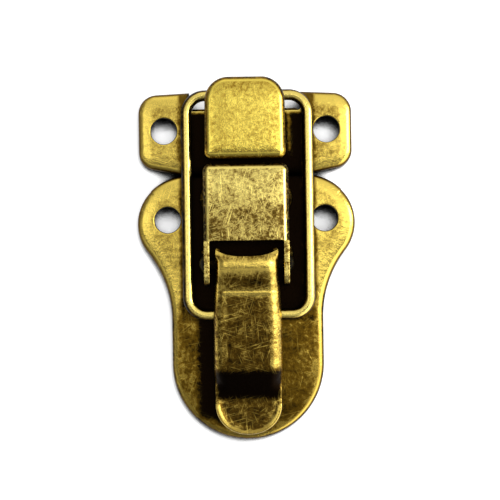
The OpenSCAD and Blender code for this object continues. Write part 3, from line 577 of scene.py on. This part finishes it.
# Flanges: flat cheeks under the shoulders, round about the pivot
v = np.linspace(bend_start + 2.6, 0, 60)
low = np.where(v < 2, -heel_r + (flange_foot + heel_r) * ease(v / 2), flange_foot)
low = low + (face_height(v) - shoulder - 0.35 - low) * ease((v - bend_start + 1.5) / 4.1)
a = np.radians(np.linspace(-90, 14, 30))
c = np.radians(np.linspace(74, -11, 24))
r = heel_r - 0.05 - np.interp(np.degrees(c), heel_turn[::-1], tight[::-1, 0])
back = np.linspace(slope_start + 0.3, bend_start + 2.5, 60)
cheek = np.concatenate([np.column_stack([-v, low]), (heel_r - 0.2) * np.column_stack([np.cos(a), np.sin(a)])[1:],
                        np.column_stack([r * np.sin(c), r * np.cos(c)]),
                        np.column_stack([-back, face_height(back) - shoulder + 0.02])])
way = np.roll(cheek, -1, 0) - np.roll(cheek, 1, 0)
way = np.column_stack([way[:, 1], -way[:, 0]]) / np.linalg.norm(way, axis=1)[:, None]
flat, faces, *_ = slab(cheek, way, lever_sheet, 0.1)
wide = np.interp(-flat[:, 0], u, width) - 0.01
for side in (-1, 1):
    points = np.column_stack([side * (wide - flat[:, 2]), pivot_y + flat[:, 0], pivot_z + flat[:, 1]])
    shells.append((points, faces, bump_at(flat[:, 0], heel_r, 0.5), 0.55 * ease((2.0 - flat[:, 0]) / 0.8)))
# Browner than the rest, in part a painted dark reflection, and full of short crossing scratches, with yellow shoulders
build("lever_sheet", "lever", "lever",
      antique_brass("antique_brass_lever", "#E6C860", "#664C16", "#120A04", -0.05, 0.45, 0.3, 0.8, (0.05, 0.01, 0),
                    short=1.5),
      shells)


# Bail: 2 mm steel wire bent to a long loop. Its two ends meet inside the lever, where the lower bar turns in the
# flanges, and its upper bar is what pulls on the hook. It lies off centre by the play between its bar and the flanges.
wire_r, wire_steps = 1.0, 32
bail_len, bail_half, bail_corner, end_gap, bail_off = 40.2, 11.1, 3.4, 0.8, 0.33
hinge_y, hinge_z, bail_tilt = lid_line - 25.695, 4.38, math.radians(-0.898)
spots, ways, _ = chain([
    (end_gap / 2, 0, 0, 270, 270, 0), (bail_half - bail_corner, bail_corner, bail_corner, 270, 360, 0),
    (bail_half - bail_corner, bail_len - bail_corner, bail_corner, 0, 90, 0),
    (bail_corner - bail_half, bail_len - bail_corner, bail_corner, 90, 180, 0),
    (bail_corner - bail_half, bail_corner, bail_corner, 180, 270, 0), (-end_gap / 2, 0, 0, 270, 270, 0)], False)
# The ends are closed by rings that shrink to a point
spots, ways = [np.concatenate([v[:1]] * 3 + [v] + [v[-1:]] * 3) for v in (spots, ways)]
thick = np.ones(len(spots))
thick[:3], thick[-3:] = [0, 0.6, 0.9], [0.9, 0.6, 0]
spin = np.radians(np.linspace(0, 360, wire_steps, endpoint=False))[:, None]
out, up = wire_r * np.cos(spin) * thick, wire_r * np.sin(spin) * thick
loop_x, loop_y = [spots[:, k] + ways[:, k] * out for k in (0, 1)]
points = np.stack([loop_x + bail_off, hinge_y + loop_y * math.cos(bail_tilt) - up * math.sin(bail_tilt),
                   hinge_z + loop_y * math.sin(bail_tilt) + up * math.cos(bail_tilt)], -1)
# The wire's top is rubbed bright, with a painted highlight that leans to its right, towards the light; its flanks and
# underside carry painted shade
facing = (0.97 * np.sin(spin) + 0.24 * np.cos(spin) * ways[:, 0]).ravel()
rubbed_and_highlight, kept_patina_and_shade = ease((facing - 0.7) / 0.25), 0.85 * ease((0.9 - facing) / 0.3)
# Smooth and pale, the brightest line in the picture
build("bail_wire", "bail", "bail",
      antique_brass("antique_brass_wire", "#F0D874", "#7A5814", "#120A04", -0.15, 0.35, 0.35, 0.4, (0.06, 0.03, 0)),
      [(points.reshape(-1, 3), grid_faces(wire_steps, len(spots), True), rubbed_and_highlight, kept_patina_and_shade)])


# Strike plate: the lid's half, pressed from the same sheet with swept edges and two screw holes. A notch is sheared
# out of its far edge so that the bail can drop behind the hook.
strike_half, strike_edge, strike_far = 19.7, lid_line + lid_gap / 2, lid_line + 15.05
low_corner, high_corner, bend_r, bend_x = 3.3, 3.5, 10.0, 10.0
sweep, rake = 11, 2.7
sweep_sin, sweep_cos = math.sin(math.radians(sweep)), math.cos(math.radians(sweep))
rake_sin, rake_cos = math.sin(math.radians(rake)), math.cos(math.radians(rake))
low_x, high_x, high_y = strike_half - low_corner, strike_half - high_corner, strike_far - high_corner
low_y = strike_edge + bend_r + ((low_x - bend_x) * sweep_sin + low_corner - bend_r) / sweep_cos
notch_half, notch_y, notch_corner = 10.3, strike_far - 3.2, 0.5
far_y = high_y + (high_corner + (high_x - notch_half) * rake_sin) / rake_cos
strike_holes = [(-15.0, lid_line + 8.25), (15.0, lid_line + 8.25)]
strike_line = chain([
    (-notch_half, far_y, 0, 90 + rake, 90 + rake, 0), (-high_x, high_y, high_corner, 90 + rake, 180, 0),
    (-low_x, low_y, low_corner, 180, 270 - sweep, 0), (-bend_x, strike_edge + bend_r, bend_r, 270 - sweep, 270, 0),
    (bend_x, strike_edge + bend_r, bend_r, 270, 270 + sweep, 0), (low_x, low_y, low_corner, 270 + sweep, 360, 0),
    (high_x, high_y, high_corner, 0, 90 - rake, 0), (notch_half, far_y, 0, 90 - rake, 90 - rake, 0)], False)
end_x, end_y = notch_half - plate_roll * rake_sin, far_y - plate_roll * rake_cos
notch_line = chain([
    (end_x, end_y, 0, 180, 180, 0),
    (notch_half - notch_corner, notch_y + notch_corner, -notch_corner, 0, -90, 0),
    (notch_corner - notch_half, notch_y + notch_corner, -notch_corner, -90, -180, 0),
    (-end_x, end_y, 0, 0, 0, 0)], False)
points, faces, tilt, inner = pressed(strike_line, False, plate_sheet, plate_roll, plate_top, plate_fall, plate_reach,
                                     cut=notch_line, holes=strike_holes)
# Worn like the base plate and bright on the sheared edge; a painted highlight streak lies on the right beside the hook
x, y = points[:, :2].T
sheared = bump_at(y, notch_y, 0.3) * (np.abs(x) < notch_half) * (1 - inner)
streak = bump_at(x, 8.2, 0.3) * ease((y - 19) / 2) * ease((28 - y) / 2) * (1 - inner)
band = ease((band_wide - nearest(points[:, :2], strike_line[0])) / band_soft)
rubbed_and_highlight = np.maximum(bump_at(tilt, 0.3, 0.2), band) * (1 - inner) * (np.abs(x) > open_x)
rubbed_and_highlight = np.maximum(rubbed_and_highlight, sheared)
# Patina with painted shade inside the bail, and a painted shadow under and beside its wire, less on the highlight
# streak
bail_shade_and_patina = np.maximum(ease((loop_half - np.abs(x)) / 0.8),
                        0.65 * ease((shade_half - np.abs(x - shade_x)) / 0.9)) * (1 - sheared)
# Outer turn of the rolled edges and the hole rims: patina, with painted shade for their dark outline
rim = ease((tilt - 0.28) / 0.35) * (1 - sheared)
kept_patina_and_shade = np.maximum.reduce([bail_shade_and_patina * (1 - 0.9 * streak), 0.8 * rim, 0.7 * inner])
# The base plate's finish with a touch more brown
build("strike_plate_sheet", "strike_plate", "mounted",
      antique_brass("antique_brass_strike", "#EED060", "#785A16", "#120A04", -0.04, 0.35, 0.35, 0.5, (0.08, 0.06, 0)),
      [(points, faces, rubbed_and_highlight, kept_patina_and_shade)])


# Hook: a cap drawn from 1 mm sheet, clinched to the strike plate. Its far end is a lip with two large corners, open
# below, behind which the bail's upper bar slips. Its sides draw in a little towards the lip.
hook_half, hook_top, hook_sheet, hook_roll = 7.35, 8.15, 1.0, 1.1
hook_foot, hook_stop, hook_reach = lid_line + 2.7, lid_line + 13.2, lid_line + 17.5
hook_lip, lip_corner, foot_corner, taper = hook_top - 1.3, hook_reach - hook_stop, 1.3, 0.15
hook_line = chain([
    (hook_half - foot_corner, hook_foot + foot_corner, foot_corner, -90, 0, plate_top),
    (hook_half, hook_stop, 0, 0, 0, plate_top), (hook_half, hook_stop, 0, 0, 0, hook_lip),
    (hook_half - lip_corner, hook_reach - lip_corner, lip_corner, 0, 90, hook_lip),
    (lip_corner - hook_half, hook_reach - lip_corner, lip_corner, 90, 180, hook_lip),
    (-hook_half, hook_stop, 0, 180, 180, hook_lip), (-hook_half, hook_stop, 0, 180, 180, plate_top),
    (foot_corner - hook_half, hook_foot + foot_corner, foot_corner, 180, 270, plate_top)], True)
points, faces, tilt, inner = pressed(hook_line, True, hook_sheet, hook_roll, hook_top, cap_fall, cap_reach)
points[:, 0] *= 1 - taper / hook_half * np.clip((points[:, 1] - hook_foot) / (hook_reach - hook_foot), 0, 1)
# Worn like the bracket, with painted shade on the turns of the bends; the bend at its foot is lighter, and the lip's
# end
# a little darker: painted shade
rubbed_and_highlight = bump_at(tilt, 0.22, 0.15) * (1 - inner)
bends = 0.7 * ease((tilt - 0.2) / 0.25) * (1 - 0.6 * ease((hook_foot + 2 - points[:, 1]) / 0.6))
kept_patina_and_shade = np.maximum.reduce([0.95 * ease((6.9 - points[:, 2]) / 1.2), bends, 0.9 * inner,
                          0.2 * ease((points[:, 1] - hook_reach + 4) / 3) * (tilt < 0.1)])
# The yellowest piece, finely speckled all over
build("strike_hook_cap", "strike_hook", "mounted",
      antique_brass("antique_brass_hook", "#F4DA60", "#96701A", "#120A04", -0.1, 0.45, 0.2, 0.5, (0.04, 0.09, 0)),
      [(points, faces, rubbed_and_highlight, kept_patina_and_shade)] + tabs(hook_half, hook_sheet, (lid_line + 6.05, lid_line + 10.8), 3.0))


# Stage: a white table in a pale room that is brighter on the right, with a dark gap overhead towards the lever's tip.
# A strip light stands on the right. The camera looks straight down.
strip_place, strip_radiance = (0.42, 0.08, 0.26), 6
strip = bpy.data.lights.new("strip_light", "AREA")
strip.shape, strip.size, strip.size_y = "RECTANGLE", 0.16, 0.4
strip.energy = math.pi * strip.size * strip.size_y * strip_radiance
strip_object = bpy.data.objects.new("strip_light", strip)
strip_object.location = strip_place
strip_object.rotation_euler = (-strip_object.location).to_track_quat("-Z", "Y").to_euler()
bpy.context.scene.collection.objects.link(strip_object)

# The table glows a little to the eye, so that it is white. Its colour and glow are darkened where the sky to its upper
# right is hidden within 6 mm: painted shadow that makes crescents in the screw holes and soft shadows to the lower left
table_half, table_z = 3, -2e-5
floor_mesh = bpy.data.meshes.new("table_top")
floor_mesh.from_pydata([(a * table_half, b * table_half, table_z) for a, b in ((-1, -1), (1, -1), (1, 1), (-1, 1))],
                       [], [(0, 1, 2, 3)])
floor = bpy.data.objects.new("table_top", floor_mesh)
bpy.context.scene.collection.objects.link(floor)
paper = bpy.data.materials.new("white_table_paper")
paper.use_nodes = True
tree = paper.node_tree
tree.nodes.clear()
path = add(tree, "ShaderNodeLightPath")
seen = calc(tree, "MAXIMUM", path.outputs["Is Camera Ray"], path.outputs["Is Glossy Ray"])
seen = calc(tree, "MAXIMUM", seen, path.outputs["Is Transmission Ray"])
slant = add(tree, "ShaderNodeCombineXYZ", {"X": 0.2, "Y": 0.6, "Z": 0.775}).outputs[0]
open_sky = add(tree, "ShaderNodeAmbientOcclusion", {"Distance": 0.006, "Normal": slant}).outputs["AO"]
open_sky = ramp(tree, open_sky, 0.4, 0.6, smooth=True)
glow = calc(tree, "MULTIPLY", calc(tree, "MULTIPLY", seen, 0.6), open_sky)
shade = blend(tree, open_sky, linear("#101010"), linear("#F4F4F4"))
matt = add(tree, "ShaderNodeBsdfDiffuse", {"Color": shade}).outputs[0]
light = add(tree, "ShaderNodeEmission", {"Color": (1, 1, 1, 1), "Strength": glow}).outputs[0]
both = add(tree, "ShaderNodeAddShader", {0: matt, 1: light}).outputs[0]
add(tree, "ShaderNodeOutputMaterial", {"Surface": both})
floor_mesh.materials.append(paper)

room = bpy.data.worlds.new("pale_room")
room.use_nodes = True
bpy.context.scene.world = room
tree = room.node_tree
tree.nodes.clear()
way = add(tree, "ShaderNodeTexCoord").outputs["Generated"]
axes = add(tree, "ShaderNodeSeparateXYZ", {0: way}).outputs
# Brightness of the ceiling, less to the left of the zenith, with a bright wall further to the left
toward = add(tree, "ShaderNodeVectorMath", {0: way, 1: (0.95, 0.3, 0)}, operation="DOT_PRODUCT").outputs["Value"]
pale = ramp(tree, toward, -0.03, 0.09, 0.57, 2.15, smooth=True)
wall = ramp(tree, axes["X"], -0.1, -0.22, 0.0, 1.2, smooth=True)
foot = ramp(tree, axes["X"], -0.75, -0.5, smooth=True)
pale = calc(tree, "MULTIPLY_ADD", wall, foot, pale)
# It dims towards the walls, and more beyond the hook. Place on the ceiling is the direction divided by its rise
pale = calc(tree, "MULTIPLY", pale, ramp(tree, axes["Z"], 0.5, 0.9, 0.9, smooth=True))
rise = calc(tree, "ADD", axes["Z"], 0.15)
ceiling_x = calc(tree, "DIVIDE", axes["X"], rise)
ceiling_y = calc(tree, "DIVIDE", axes["Y"], rise)
pale = calc(tree, "MULTIPLY", pale, ramp(tree, ceiling_y, 0.05, 0.18, 1.0, 0.46))
# The dark gap, and the dimmer wall below it
dark = ramp(tree, ceiling_y, -0.02, -0.12, smooth=True)
dark = calc(tree, "MULTIPLY", dark, ramp(tree, ceiling_x, 0.7, 0.35, smooth=True))
below = ramp(tree, ceiling_y, -0.2, -0.36, 0.05, 0.6, smooth=True)
below = calc(tree, "MULTIPLY", below, ramp(tree, ceiling_y, -0.75, -0.5, 0.3, smooth=True))
level = add(tree, "ShaderNodeMix", {"Factor": dark, 2: pale, 3: below}, data_type="FLOAT").outputs[0]
camera_ray = add(tree, "ShaderNodeLightPath").outputs["Is Camera Ray"]
level = add(tree, "ShaderNodeMix", {"Factor": camera_ray, 2: level, 3: 1.0}, data_type="FLOAT").outputs[0]
sky = add(tree, "ShaderNodeBackground", {"Color": (1, 1, 1, 1), "Strength": level}).outputs[0]
add(tree, "ShaderNodeOutputWorld", {"Surface": sky})

camera = bpy.data.cameras.new("camera")
camera.sensor_width, camera.lens = 36, 91.8
camera.clip_start, camera.clip_end = 0.01, 20
eye = bpy.data.objects.new("camera", camera)
eye.location = (0.0006, 0.00183, 0.2374)
eye.rotation_euler = (0, 0, math.radians(-0.85))
bpy.context.scene.collection.objects.link(eye)
bpy.context.scene.camera = eye
bpy.context.scene.view_settings.view_transform = "Standard"
